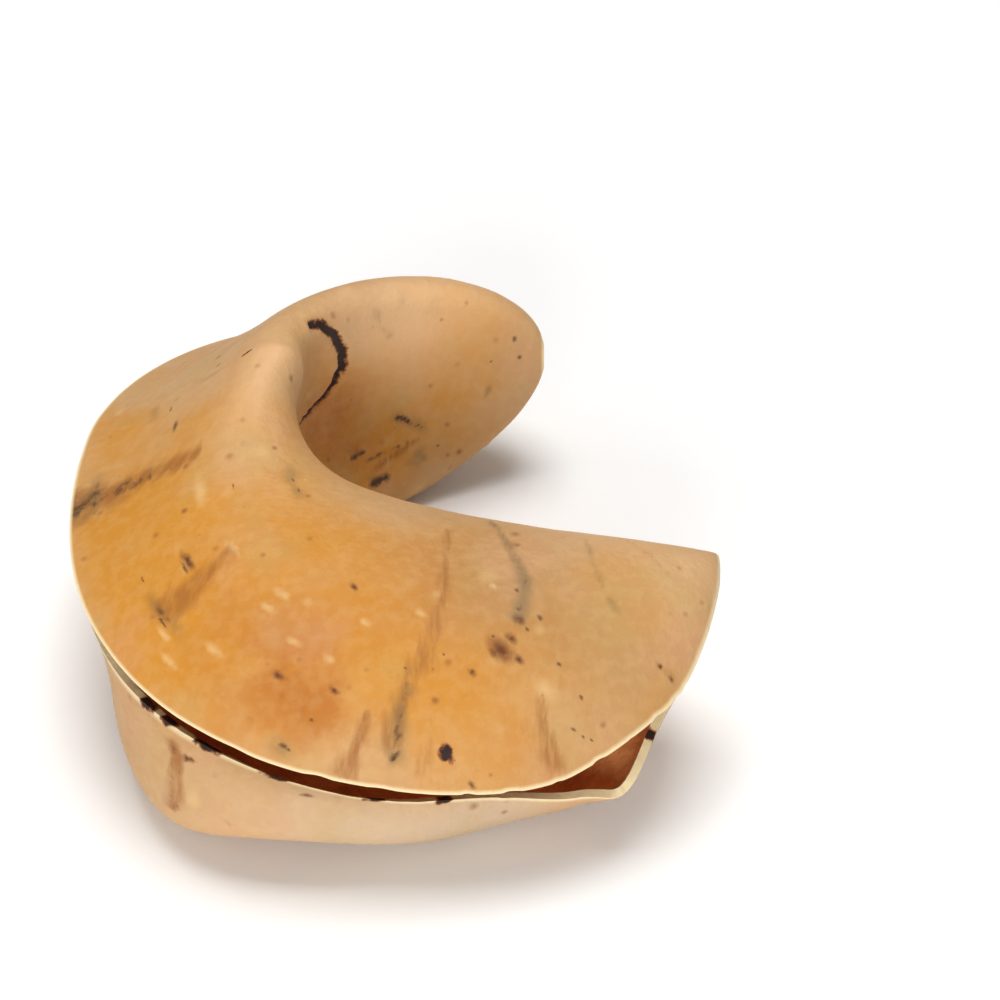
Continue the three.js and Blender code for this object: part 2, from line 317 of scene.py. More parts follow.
# Toasted streaks and stains: as above, but soft.
stains = [
    ([(4.6, 41.4), (4.5, 38.9), (3.7, 32), (2.4, 25.2)], 0.75, 0.35, 1.0),
    ([(-2.4, 26.2), (-1.8, 30.7), (-1, 35.5)], 0.4, 0.75, 0.85),
    ([(7.6, 23.5), (7.6, 28.3)], 0.25, 0.4, 0.4),
    ([(7.7, 30.4), (7.2, 38.1)], 0.5, 0.6, 0.2),
    ([(-16.5, 12.5), (-16.4, 21), (-15, 27), (-14, 30.7), (-13.3, 35.6)], 0.4, 1.0, 0.7),
    ([(-16.3, 22.9), (-15.2, 27.8)], 0.7, 1.0, 0.6),
    ([(-15.9, 32.3), (-15.5, 37.2)], 0.4, 0.7, 0.5),
    ([(-11.7, 34), (-11.1, 38), (-10.8, 39.9)], 0.35, 0.8, 0.9),
    ([(-24.5, 26.2), (-24.6, 28.7), (-25.4, 31.6)], 0.35, 1.3, 0.75),
    ([(-32.3, 5.5), (-36.3, 9.1)], 0.4, 0.5, 0.4),
    ([(-34.9, 18.8), (-36.2, 19.2)], 0.6, 0.6, 0.5),
    ([(-2.6, -40.9), (-3, -40.3), (-3, -36.1)], 0.35, 0.4, 1.0),
    ([(-21.1, 23.6)], 1.6, 1.6, 0.6),
    ([(21.7, -7.1), (26.7, -5.5)], 0.7, 0.5, 0.8),
    ([(19.6, -4.4)], 1.0, 1.0, 0.6),
]
# The darkest cores of those streaks.
chars = [
    ([(4.6, 41.4), (4.5, 38.9), (3.7, 32)], 0.35, 0.22, 0.55),
    ([(4.5, 38.9)], 0.5, 0.5, 0.75),
    ([(-1, 35.5)], 0.45, 0.45, 0.5),
    ([(-14.2, 30.2), (-13.7, 34.6), (-13.6, 37)], 0.22, 0.3, 0.6),
    ([(-11.7, 34), (-11.1, 38), (-10.8, 39.9)], 0.2, 0.3, 0.25),
    ([(-2.6, -40.9), (-3, -40.3), (-3, -36.1)], 0.2, 0.25, 0.35),
    ([(-23.3, 15.7), (-22.7, 19.8)], 0.2, 0.35, 0.4),
    ([(24.6, -2), (27.5, -4.2)], 0.4, 0.25, 0.8),
    ([(22.8, -8.7), (21.2, -8.8)], 0.6, 0.6, 0.75),
    ([(19, -5), (20.3, -4.8)], 0.5, 0.35, 0.7),
    ([(18.5, -6), (24.6, -5.6)], 0.4, 0.3, 0.5),
]
# Grey-green smudges where the skin was singed.
smudges = [
    ([(4.6, 41.4), (4.5, 38.9)], 0.8, 1.0, 0.7),
    ([(-1, 35.5)], 1.1, 1.1, 0.7),
    ([(7.4, 33.1)], 1.0, 1.0, 0.5),
    ([(-20.3, 8.6), (-21.8, 11.8), (-23.3, 15.7), (-22.7, 19.8)], 0.45, 1.0, 0.8),
    ([(-29, 8.2), (-30.2, 13.8)], 0.4, 0.4, 0.5),
    ([(-31, 15.1)], 0.8, 0.8, 0.8),
    ([(-14.2, 30.2), (-13.7, 34.6), (-13.6, 37)], 0.6, 1.0, 0.7),
    ([(-7.5, 39.7)], 1.0, 1.0, 0.6),
    ([(26, 11.8)], 0.6, 0.6, 0.4),
    ([(22.7, 12.1), (24.1, 8.6)], 0.6, 0.6, 0.45),
    ([(35.5, -1.7), (34.9, -2.7)], 0.5, 0.3, 0.6),
    ([(24.6, -2), (27.5, -4.2)], 1.0, 1.0, 0.5),
    ([(26.7, -7.5)], 1.6, 1.6, 0.6),
    ([(21.2, -8.4)], 1.2, 1.2, 0.6),
    ([(-3, 15), (-3.3, 15.9), (-4.5, 16.4)], 0.9, 0.9, 0.55),
    ([(-4.5, -39.8)], 0.4, 0.4, 0.4),
    ([(-1.6, -41.8)], 0.5, 0.5, 0.5),
]
# Small round marks: how strong they are, and (along, across, radius) of each.
darkSpecks = {
    "strength": 0.85,
    "spots": [
        (-0.8, 31, 0.3), (-1.2, 36, 0.25), (-3.3, 15.6, 0.22), (-4, 16, 0.2), (-20.6, 22.7, 0.25),
        (-24.5, 19.1, 0.38), (-23.4, 20.8, 0.3), (-22.5, 17.2, 0.3), (-22.6, 19, 0.25),
        (-26.1, 22.8, 0.36), (-16.7, 26.2, 0.2), (-13.9, 28.7, 0.2), (-19.1, 36.6, 0.5),
        (-27.2, 28.1, 0.32), (-28, 28.4, 0.24), (-28.8, 28.4, 0.22), (-27.8, 25, 0.28),
        (-8.7, 36.5, 0.24), (5.4, 29.8, 0.5), (38.4, 3.4, 0.5), (39, 1.1, 0.4), (35.7, 1.4, 0.24),
        (29.3, -7, 0.3), (-7.4, 39.6, 0.3), (6.9, 31.1, 0.24), (-7.7, 39.7, 0.25), (-0.6, 22, 0.2),
        (0.4, 35.1, 0.2),
    ],
}
rustBlots = {
    "strength": 1.0,
    "spots": [
        (-0.8, 30.3, 0.7), (-6.6, 34, 0.6), (-21.2, 23.7, 1.5), (-22, 22.2, 0.7),
        (-22.7, 23.9, 0.7), (-20.6, 24.2, 0.7), (-8.7, -39.8, 0.45), (-22.7, 20.1, 0.8),
        (-9.8, 23.2, 0.5), (-35, 18.9, 0.4), (-36, 19.4, 0.4), (-3.4, -40.4, 0.35),
        (-9.6, 33.2, 0.5), (-18.9, 26.8, 0.5),
    ],
}
paleDots = {
    "strength": 0.5,
    "spots": [
        (-2.4, 26.1, 0.7), (0.7, 25.8, 1.1), (-5.7, 27, 0.7), (-5.2, 28.9, 0.6), (-7, 30.6, 0.6),
        (-2, 38.2, 0.55), (-3.5, 34.9, 0.65), (-1.4, 36.7, 0.5), (-10.9, 26.1, 0.55),
        (-14.8, 23.1, 0.7), (-9.1, 30.7, 0.6), (-20.5, 17.6, 0.6), (-24.8, 25.7, 1.6),
    ],
}
# Black chips along a rim: where each is along the fold, half its length, and which layer's rim it
# is on, -1 for the under one.
chipDepth = 0.36
chips = [
    (-1.5, 0.3, -1),
    (-2.4, 0.3, -1),
    (-4.1, 0.6, -1),
    (-7.2, 0.7, -1),
    (-12.6, 0.75, -1),
    (-17.1, 0.8, -1),
    (-34.8, 0.9, -1),
]


# The lowest value of a field outside its marks, and how far out a soft mark still shows.
outside = {"path": -9.0, "burn": -3.0, "fade": 9}


# How deep inside a path's outline each point is, from 1 on its line down past 0 outside.
def insidePath(along, across, path, startWidth, endWidth):
    corners = np.array(path)
    if len(corners) == 1:
        return 1 - np.hypot(along - corners[0, 0], across - corners[0, 1]) / startWidth
    share = np.linspace(0, 1, len(corners))
    best = np.full(along.shape, outside["path"])
    for k in range(len(corners) - 1):
        first, second = corners[k], corners[k + 1]
        side = second - first
        at = np.clip(((along - first[0]) * side[0] + (across - first[1]) * side[1]) / (side @ side), 0, 1)
        away = np.hypot(along - first[0] - at * side[0], across - first[1] - at * side[1])
        width = mix(startWidth, endWidth, mix(share[k], share[k + 1], at))
        best = np.maximum(best, 1 - away / width)
    return best


def burnField(along, across):
    field = np.full(along.shape, outside["burn"])
    for path, startWidth, endWidth, strength in burns:
        field = np.maximum(field, insidePath(along, across, path, startWidth, endWidth) + strength - 1)
    for place, half, side in chips:
        rimAt = side * math.sqrt(wafer["radius"] ** 2 - place**2)
        away = np.hypot((along - place) / half, (across - rimAt) / chipDepth)
        field = np.maximum(field, 1 - away)
    return field


# A soft mark: 1 on its line, fading out over its width.
def softMark(along, across, path, startWidth, endWidth):
    beyond = np.clip(1 - insidePath(along, across, path, startWidth, endWidth), 0, outside["fade"])
    return np.exp(-(beyond**2))


def softField(along, across, entries):
    field = np.zeros(along.shape)
    for path, startWidth, endWidth, strength in entries:
        field = np.maximum(field, strength * softMark(along, across, path, startWidth, endWidth))
    return field


# Where the wafer is golden instead of pale: (along, across, reach along, reach across, strength).
toast = {
    "base": 0.12,
    "patches": [
        (-3.0, 29.0, 11.0, 13.0, 0.8),
        (3.0, 38.0, 6.0, 5.0, 0.4),
        (-17.0, 26.0, 10.0, 11.0, 0.45),
        (-30.0, 20.0, 10.0, 10.0, 0.35),
        (33.0, 4.0, 8.0, 8.0, 0.62),
        (22.0, -6.0, 10.0, 6.0, 0.4),
        (-19.0, 18.0, 6.0, 8.0, 0.3),
        # painted shade: this golden patch darkens the notch, where shade falls
        (16.0, -1.0, 6.0, 8.0, 0.8),
        (29.0, 24.0, 8.0, 8.0, 0.5),
        (20.0, -32.0, 10.0, 7.0, 0.45),
        (8.0, -24.0, 12.0, 8.0, 0.35),
        (-27.0, -14.0, 9.0, 8.0, 0.35),
    ],
    "deepPatches": [
        (-8.0, 34.0, 5.0, 7.0, 0.9),
        (31.0, 27.0, 4.0, 5.0, 0.6),
        (14.0, -34.0, 6.0, 4.0, 0.6),
        (-17.0, 20.0, 6.0, 7.0, 0.35),
        (-28.0, 30.0, 6.0, 5.0, 0.4),
        # painted shade: this browned patch darkens the notch further
        (17.0, -1.0, 5.0, 7.0, 0.9),
    ],
    "palePatches": [
        # painted light: this pale patch lightens the top of the far horn, where light falls
        (28.0, 10.0, 9.0, 7.0, 0.6),
        (-30.0, 5.0, 11.0, 4.0, 0.45),
        (5.5, 18.0, 4.0, 5.0, 0.35),
    ],
    "dunPatches": [(-20.0, 17.0, 7.0, 8.0, 0.6), (-30.0, 19.0, 7.0, 8.0, 0.6)],
    "creamPatches": [(-20.0, -33.0, 9.0, 8.0, 0.9), (-11.0, -34.0, 5.0, 6.0, 0.4)],
}


def patchField(along, across, patches, base):
    field = np.full(along.shape, base)
    for u, v, reachU, reachV, strength in patches:
        field += strength * np.exp(-(((along - u) / reachU) ** 2) - ((across - v) / reachV) ** 2)
    return field


# Long low waves and small blisters in the baked skin, in millimetres, before any handling.
relief = {
    "wave": 0.16,
    "waveLength": 11.0,
    "ripple": 0.035,
    "rippleLength": 2.6,
    "blisters": 90,
    "blisterHeight": (0.03, 0.11),
    "blisterRadius": (0.5, 1.5),
    "seed": 7,
    "cracks": 2,  # how many of the burns, from the first, are cracks in the skin
    "crackDepth": 0.28,
    "crackEdge": (-0.3, 0.7),
    "crackLip": 0.12,
    "lipOuter": (-2.6, -0.6),
    "lipInner": (0.4, -0.4),
    "dimple": (15.3, 8.5, 4.2, -0.55),  # along, across, reach, height
    "noseRidge": ([(7.1, 21.7), (7, 20.4), (6.6, 18.2), (5.3, 15.8)], 0.8, 0.18),  # width, height
    "calmRim": 2.0,  # the relief fades out over this distance from the rim
    "waveSeed": 1,
    "rippleSeed": 2,
}
noiseShift = (17.3, -9.1, 4.7)  # how far apart the noise of two seeds is taken


def noiseAt(along, across, length, seed):
    offset = Vector([seed * shift for shift in noiseShift])
    return np.array(
        [noise.noise(Vector((u / length, v / length, 0)) + offset) for u, v in zip(along, across)]
    )


def skinHeight(along, across):
    rng = np.random.default_rng(relief["seed"])
    height = relief["wave"] * noiseAt(along, across, relief["waveLength"], relief["waveSeed"])
    height += relief["ripple"] * noiseAt(along, across, relief["rippleLength"], relief["rippleSeed"])
    for _ in range(relief["blisters"]):
        place = rng.uniform(-wafer["radius"], wafer["radius"], 2)
        radius = rng.uniform(*relief["blisterRadius"])
        tall = rng.uniform(*relief["blisterHeight"])
        away = np.hypot(along - place[0], across - place[1]) / radius
        height += tall * np.clip(1 - away**2, 0, 1) ** 2
    u, v, reach, tall = relief["dimple"]
    height += tall * np.exp(-((along - u) ** 2 + (across - v) ** 2) / reach**2)
    for path, startWidth, endWidth, _ in burns[: relief["cracks"]]:
        inside = insidePath(along, across, path, startWidth, endWidth)
        height -= relief["crackDepth"] * smoothStep(*relief["crackEdge"], inside)
        raisedLip = smoothStep(*relief["lipOuter"], inside) * smoothStep(*relief["lipInner"], inside)
        height += relief["crackLip"] * raisedLip
    path, width, tall = relief["noseRidge"]
    return height + tall * softMark(along, across, path, width, width)


# The rim is never a true circle: it wanders a little, and a few chips are gone from it.
rimWear = {
    "wander": 0.35,
    "wanderLength": 9.0,
    "wanderRaise": 0.35,  # added to the noise before it is cut off at 0
    "wanderReach": 5.0,
    "wanderSeed": 3,
    "nick": 0.24,
    "nickLength": 1.6,
    "nickRaise": -0.15,
    "nickReach": 1.2,
    "nickSeed": 4,
}


def wearRim(along, across):
    reach = np.hypot(along, across)
    x, y = (v / np.maximum(reach, tiny) * wafer["radius"] for v in (along, across))
    fromRim = wafer["radius"] - reach
    worn = np.zeros(along.shape)
    for kind in ("wander", "nick"):
        rough = noiseAt(x, y, rimWear[kind + "Length"], rimWear[kind + "Seed"])
        depth = rimWear[kind] * np.clip(rough + rimWear[kind + "Raise"], 0, 1)
        worn += depth * smoothStep(rimWear[kind + "Reach"], 0, fromRim)
    keep = 1 - worn / wafer["radius"]
    return along * keep, across * keep, fromRim


def makeWafer():
    piece, along, across = makeFlatWafer()
    folded, foldedAcross, fromRim = wearRim(along, across)
    points = foldWafer(folded, foldedAcross)
    writePoints(piece, points)
    height = skinHeight(along, across) * smoothStep(0, relief["calmRim"], fromRim)
    points = points + readNormals(piece) * height[:, None]
    points[:, 2] = np.maximum(points[:, 2], 0)
    writePoints(piece, points * mm)
    addAttribute(piece, "along", along)
    addAttribute(piece, "across", across)
    addAttribute(piece, "fromRim", fromRim)
    addAttribute(piece, "burn", burnField(along, across))
    addAttribute(piece, "stain", softField(along, across, stains))
    addAttribute(piece, "smudge", softField(along, across, smudges))
    addAttribute(piece, "char", softField(along, across, chars))
    addAttribute(piece, "golden", patchField(along, across, toast["patches"], toast["base"]))
    for name in ("deep", "pale", "dun", "cream"):
        addAttribute(piece, name, patchField(along, across, toast[name + "Patches"], 0.0))
    thickness = mix(wafer["rimWall"], wafer["wall"], smoothStep(0, wafer["rimTaper"], fromRim))
    towardsTip = smoothStep(0, wafer["tipTaper"], wafer["radius"] - np.abs(along))
    thickness = np.minimum(thickness, mix(wafer["tipWall"], wafer["wall"], towardsTip))
    group = piece.vertex_groups.new(name="thickness")
    for index, share in enumerate(thickness / wafer["wall"]):
        group.add([index], float(share), "REPLACE")
    return piece


def addWall(piece):
    wall = piece.modifiers.new("wall", "SOLIDIFY")
    wall.thickness = wafer["wall"] * mm
    wall.offset = -1
    wall.use_rim = True
    wall.vertex_group = "thickness"
    wall.use_quality_normals = True
    wall.material_offset = 1
    wall.material_offset_rim = 0
    applyModifiers(piece)
    piece.vertex_groups.clear()
    bpy.ops.object.shade_smooth_by_angle(angle=math.radians(wafer["smoothAngle"]))
    return piece


print("shaping the wafer")
waferShell = makeWafer()


def newGroup(name, inputs, outputs):
    group = bpy.data.node_groups.new(name, "ShaderNodeTree")
    for label, kind, value in inputs:
        socket = group.interface.new_socket(label, in_out="INPUT", socket_type=kind)
        socket.default_value = value
    for label, kind in outputs:
        group.interface.new_socket(label, in_out="OUTPUT", socket_type=kind)
    return group, group.nodes.new("NodeGroupInput"), group.nodes.new("NodeGroupOutput")


def addNode(tree, kind, links=(), **settings):
    node = tree.nodes.new(kind)
    for key, value in settings.items():
        setattr(node, key, value)
    for socket, source in links:
        if hasattr(source, "is_output"):
            tree.links.new(source, node.inputs[socket])
        else:
            node.inputs[socket].default_value = source
    return node


# A patchy mask from layered noise: `Low` and `High` are the noise values that become 0 and 1.
def makePatchGroup():
    inputs = [
        ("Vector", "NodeSocketVector", (0, 0, 0)),
        ("Scale", "NodeSocketFloat", 100.0),
        ("Detail", "NodeSocketFloat", 4.0),
        ("Low", "NodeSocketFloat", 0.35),
        ("High", "NodeSocketFloat", 0.65),
    ]
    group, given, result = newGroup("patchMask", inputs, [("Mask", "NodeSocketFloat")])
    texture = addNode(
        group,
        "ShaderNodeTexNoise",
        [(label, given.outputs[label]) for label in ("Vector", "Scale", "Detail")],
    )
    ramp = addNode(
        group,
        "ShaderNodeMapRange",
        [
            ("Value", texture.outputs["Fac"]),
            ("From Min", given.outputs["Low"]),
            ("From Max", given.outputs["High"]),
        ],
        interpolation_type="SMOOTHSTEP",
    )
    group.links.new(ramp.outputs["Result"], result.inputs["Mask"])
    return group


# Scattered dots: a share of the cells of a Voronoi pattern carries one, each of its own size.
def makeDotGroup():
    inputs = [
        ("Vector", "NodeSocketVector", (0, 0, 0)),
        ("Scale", "NodeSocketFloat", 300.0),
        ("Size", "NodeSocketFloat", 0.25),
        ("Share", "NodeSocketFloat", 0.3),
    ]
    group, given, result = newGroup("dotMask", inputs, [("Mask", "NodeSocketFloat")])
    cells = addNode(
        group,
        "ShaderNodeTexVoronoi",
        [("Vector", given.outputs["Vector"]), ("Scale", given.outputs["Scale"]), ("Randomness", 1.0)],
    )
    chance = addNode(group, "ShaderNodeSeparateColor", [("Color", cells.outputs["Color"])])
    chosen = addNode(
        group,
        "ShaderNodeMath",
        [(0, chance.outputs["Red"]), (1, given.outputs["Share"])],
        operation="LESS_THAN",
    )
    radius = addNode(
        group,
        "ShaderNodeMath",
        [(0, chance.outputs["Green"]), (1, given.outputs["Size"])],
        operation="MULTIPLY",
    )
    inside = addNode(
        group,
        "ShaderNodeMapRange",
        [
            ("Value", cells.outputs["Distance"]),
            ("From Min", radius.outputs["Value"]),
            ("From Max", 0.0),
        ],
        interpolation_type="SMOOTHSTEP",
    )
    both = addNode(
        group,
        "ShaderNodeMath",
        [(0, inside.outputs["Result"]), (1, chosen.outputs["Value"])],
        operation="MULTIPLY",
    )
    group.links.new(both.outputs["Value"], result.inputs["Mask"])
    return group


# A round spot: 1 at its place, 0 from its radius outwards.
def makeSpotGroup():
    inputs = [
        ("Vector", "NodeSocketVector", (0, 0, 0)),
        ("Place", "NodeSocketVector", (0, 0, 0)),
        ("Radius", "NodeSocketFloat", 1.0),
    ]
    group, given, result = newGroup("spotMask", inputs, [("Mask", "NodeSocketFloat")])
    away = addNode(
        group,
        "ShaderNodeVectorMath",
        [(0, given.outputs["Vector"]), (1, given.outputs["Place"])],
        operation="DISTANCE",
    )
    inside = addNode(
        group,
        "ShaderNodeMapRange",
        [("Value", away.outputs["Value"]), ("From Min", given.outputs["Radius"]), ("From Max", 0.0)],
        interpolation_type="SMOOTHSTEP",
    )
    group.links.new(inside.outputs["Result"], result.inputs["Mask"])
    return group


patchMask = makePatchGroup()
spotMask = makeSpotGroup()
dotMask = makeDotGroup()


def addPatch(tree, vector, scale, low, high, detail=4.0):
    node = addNode(tree, "ShaderNodeGroup", node_tree=patchMask)
    tree.links.new(vector, node.inputs["Vector"])
    for label, value in (("Scale", scale), ("Detail", detail), ("Low", low), ("High", high)):
        node.inputs[label].default_value = value
    return node.outputs["Mask"]


def addDots(tree, vector, scale, size, share):
    node = addNode(tree, "ShaderNodeGroup", node_tree=dotMask)
    tree.links.new(vector, node.inputs["Vector"])
    for label, value in (("Scale", scale), ("Size", size), ("Share", share)):
        node.inputs[label].default_value = value
    return node.outputs["Mask"]


def addSpots(tree, vector, spots):
    mask = 0.0
    for u, v, radius in spots["spots"]:
        node = addNode(tree, "ShaderNodeGroup", node_tree=spotMask)
        tree.links.new(vector, node.inputs["Vector"])
        node.inputs["Place"].default_value = (u, v, 0)
        node.inputs["Radius"].default_value = radius
        mask = addMath(tree, "MAXIMUM", node.outputs["Mask"], mask)
    return addMath(tree, "MULTIPLY", mask, spots["strength"])


def addMath(tree, operation, first, second=0.0, third=0.0):
    node = addNode(tree, "ShaderNodeMath", [(0, first), (1, second), (2, third)], operation=operation)
    return node.outputs["Value"]


def addRange(tree, value, low, high, toLow=0.0, toHigh=1.0):
    node = addNode(
        tree,
        "ShaderNodeMapRange",
        [("Value", value), ("From Min", low), ("From Max", high), ("To Min", toLow), ("To Max", toHigh)],
        interpolation_type="SMOOTHSTEP",
    )
    return node.outputs["Result"]


def addMix(tree, share, first, second, blend="MIX"):
    node = addNode(
        tree,
        "ShaderNodeMix",
        [(0, share), (6, first), (7, second)],
        data_type="RGBA",
        blend_type=blend,
        clamp_factor=True,
    )
    return node.outputs[2]


def readAttribute(tree, name):
    return addNode(tree, "ShaderNodeAttribute", attribute_name=name).outputs["Fac"]


crust = {
    "tan": (0.53, 0.31, 0.14, 1),
    "gold": (0.55, 0.228, 0.022, 1),
    "deep": (0.42, 0.135, 0.016, 1),
    "pale": (0.8, 0.5, 0.27, 1),
    "dun": (0.38, 0.2, 0.07, 1),
    "cream": (0.54, 0.4, 0.27, 1),
    "green": (0.46, 0.31, 0.11, 1),
    "pink": (0.56, 0.27, 0.13, 1),
    "stain": (0.3, 0.1, 0.014, 1),
    "smudge": (0.19, 0.12, 0.045, 1),
    "char": (0.075, 0.03, 0.01, 1),
    "rust": (0.12, 0.03, 0.007, 1),
    "burn": (0.022, 0.009, 0.005, 1),
    "singed": (0.2, 0.055, 0.014, 1),
    "flour": (0.72, 0.48, 0.21, 1),
    "rim": (0.78, 0.62, 0.36, 1),
    "rimWidth": (0.05, 0.45),
    "goldenFrom": 0.25,  # below this the skin stays tan
    "fibre": 0.18,  # how far the streaks' pattern is stretched across the fold
    "pinkShift": (0.3, 0.1, 0.2),  # keeps the pink clouds off the green ones
    "burnRough": 0.5,
    "roughness": (0.55, 0.72),
    "specular": 0.3,
    "bump": (0.5, 0.00006),  # strength, distance
}
# The patterns in the crust: scale, the noise values that become 0 and 1, and detail.
crustPatches = {
    "wander": (85.0, 0.3, 0.7, 4.0),
    "deep": (160.0, 0.3, 0.62, 4.0),
    "green": (120.0, 0.52, 0.7, 3.0),
    "pink": (95.0, 0.52, 0.7, 3.0),
    "grain": (900.0, 0.38, 0.66, 3.0),
    "clusters": (110.0, 0.4, 0.62, 2.0),
    "fibres": (1.9, 0.3, 0.65, 3.0),
    "smoke": (520.0, 0.25, 0.65, 4.0),
    "core": (900.0, 0.3, 0.65, 4.0),
    "rust": (900.0, 0.15, 0.5, 4.0),
    "crumbs": (1500.0, 0.3, 0.7, 4.0),
    "sheen": (240.0, 0.3, 0.7, 4.0),
    "pores": (2200.0, 0.3, 0.7, 2.0),
    "puffs": (320.0, 0.3, 0.7, 3.0),
}
# How much of each pattern is laid on.
crustShares = {
    "wander": 0.5,
    "green": 0.3,
    "pink": 0.35,
    "grain": 0.1,
    "flecks": 0.75,
    "pale": 0.35,
    "pores": 0.4,
    "puffs": 1.6,
}
# Scattered dots: scale, size, and the share of the cells that carry one.
crustDots = {"flecks": (700.0, 0.5, 0.22), "pale": (260.0, 0.42, 0.3)}
# The soft marks: the pattern that roughens each and by how much, the values that become 0 and 1,
# and how strongly it is laid on.
softMarks = {
    "stain": {"pattern": "fibres", "rough": 0.4, "range": (0.4, 1.3), "share": 0.8},
    "smudge": {"pattern": "smoke", "rough": 0.4, "range": (0.4, 1.3), "share": 0.75},
    "char": {"pattern": "core", "rough": 0.5, "range": (0.52, 1.1), "share": 1.0},
}
# The burns: the values that become 0 and 1, first for their singed edge.
burnRanges = {"singed": (0.0, 0.45), "burn": (0.4, 0.65)}
# How the outlines of the spots are shaken: the noise, and its reach in millimetres.
wobble = {"scale": 1100.0, "detail": 2.0, "reach": 0.6}


def newMaterial(name):
    material = bpy.data.materials.new(name)
    material.use_nodes = True
    return material, material.node_tree, material.node_tree.nodes["Principled BSDF"]


def addBump(tree, height, strength, distance):
    links = [("Height", height), ("Strength", strength), ("Distance", distance)]
    return addNode(tree, "ShaderNodeBump", links).outputs["Normal"]


def addVector(tree, operation, *vectors):
    node = addNode(tree, "ShaderNodeVectorMath", list(enumerate(vectors)), operation=operation)
    return node.outputs["Vector"]


def addCrustPatch(tree, vector, name):
    return addPatch(tree, vector, *crustPatches[name])


def addShare(tree, mask, name):
    return addMath(tree, "MULTIPLY", mask, crustShares[name])


# The wafer's own coordinates, for what follows the skin.
def readFlat(tree):
    sides = [("X", readAttribute(tree, "along")), ("Y", readAttribute(tree, "across"))]
    return addNode(tree, "ShaderNodeCombineXYZ", sides).outputs["Vector"]


def addWobble(tree, place, flat):
    links = [("Vector", place), ("Scale", wobble["scale"]), ("Detail", wobble["detail"])]
    texture = addNode(tree, "ShaderNodeTexNoise", links)
    reach = wobble["reach"]
    shaken = addVector(tree, "MULTIPLY_ADD", texture.outputs["Color"], (reach, reach, 0), flat)
    return addVector(tree, "ADD", shaken, (-reach / 2, -reach / 2, 0))


# Tan to golden and browned, with pale, dull and creamy parts. The golden and browned patches in the notch
# are painted shade, and the first pale patch is painted light on the far horn.
def addBakedColor(tree, place):
    golden = addMath(tree, "SUBTRACT", readAttribute(tree, "golden"), crust["goldenFrom"])
    wander = addCrustPatch(tree, place, "wander")
    toasted = addMath(tree, "MULTIPLY_ADD", wander, crustShares["wander"], golden)
    skin = addMix(tree, addRange(tree, toasted, 0.0, 1.0), crust["tan"], crust["gold"])
    deep = addMath(tree, "MULTIPLY", readAttribute(tree, "deep"), addCrustPatch(tree, place, "deep"))
    skin = addMix(tree, deep, skin, crust["deep"])
    for name in ("pale", "dun", "cream"):
        skin = addMix(tree, readAttribute(tree, name), skin, crust[name])
    return skin


# Faint green and pink clouds, floury grain, singed flecks and pale dots.
def addSpeckle(tree, place, wobbly, grain, skin):
    shifted = addVector(tree, "ADD", place, crust["pinkShift"])
    for name, vector in (("green", place), ("pink", shifted)):
        cloud = addShare(tree, addCrustPatch(tree, vector, name), name)
        skin = addMix(tree, cloud, skin, crust[name])
    skin = addMix(tree, addShare(tree, grain, "grain"), skin, crust["flour"])
    clusters = addCrustPatch(tree, place, "clusters")
    flecks = addMath(tree, "MULTIPLY", addDots(tree, place, *crustDots["flecks"]), clusters)
    skin = addMix(tree, addShare(tree, flecks, "flecks"), skin, crust["singed"])
    pale = addShare(tree, addDots(tree, place, *crustDots["pale"]), "pale")
    flour = addMath(tree, "MAXIMUM", pale, addSpots(tree, wobbly, paleDots))
    return addMix(tree, flour, skin, crust["flour"])


# Browned streaks, smudges and their dark cores, then rust blots and specks.
def addMarks(tree, place, flat, wobbly, skin):
    fibre = addVector(tree, "MULTIPLY", flat, (1, crust["fibre"], 1))
    for name, mark in softMarks.items():
        vector = fibre if mark["pattern"] == "fibres" else place
        pattern = addCrustPatch(tree, vector, mark["pattern"])
        field = addMath(tree, "MULTIPLY_ADD", pattern, mark["rough"], readAttribute(tree, name))
        mask = addMath(tree, "MULTIPLY", addRange(tree, field, *mark["range"]), mark["share"])
        skin = addMix(tree, mask, skin, crust[name])
    rust = addSpots(tree, wobbly, rustBlots)
    rust = addMath(tree, "MULTIPLY", rust, addCrustPatch(tree, place, "rust"))
    skin = addMix(tree, rust, skin, crust["rust"])
    return addMix(tree, addSpots(tree, wobbly, darkSpecks), skin, crust["char"])


# The worn pale rim, and the burns over it.
def addBurns(tree, place, skin):
    edge = addRange(tree, readAttribute(tree, "fromRim"), *reversed(crust["rimWidth"]))
    skin = addMix(tree, edge, skin, crust["rim"])
    crumbs = addCrustPatch(tree, place, "crumbs")
    ragged = addMath(tree, "MULTIPLY_ADD", crumbs, crust["burnRough"], readAttribute(tree, "burn"))
    for name, span in burnRanges.items():
        skin = addMix(tree, addRange(tree, ragged, *span), skin, crust[name])
    return skin


def makeCrust():
    material, tree, shader = newMaterial("bakedCrust")
    place = addNode(tree, "ShaderNodeTexCoord").outputs["Object"]
    flat = readFlat(tree)
    wobbly = addWobble(tree, place, flat)
    grain = addCrustPatch(tree, place, "grain")
    skin = addBakedColor(tree, place)
    skin = addSpeckle(tree, place, wobbly, grain, skin)
    skin = addMarks(tree, place, flat, wobbly, skin)
    skin = addBurns(tree, place, skin)
    tree.links.new(skin, shader.inputs["Base Color"])
    rough = addRange(tree, addCrustPatch(tree, place, "sheen"), 0.0, 1.0, *crust["roughness"])
    tree.links.new(rough, shader.inputs["Roughness"])
    height = grain
    for name in ("pores", "puffs"):
        height = addMath(tree, "MULTIPLY_ADD", addCrustPatch(tree, place, name), crustShares[name], height)
    tree.links.new(addBump(tree, height, *crust["bump"]), shader.inputs["Normal"])
    shader.inputs["Specular IOR Level"].default_value = crust["specular"]
    return material
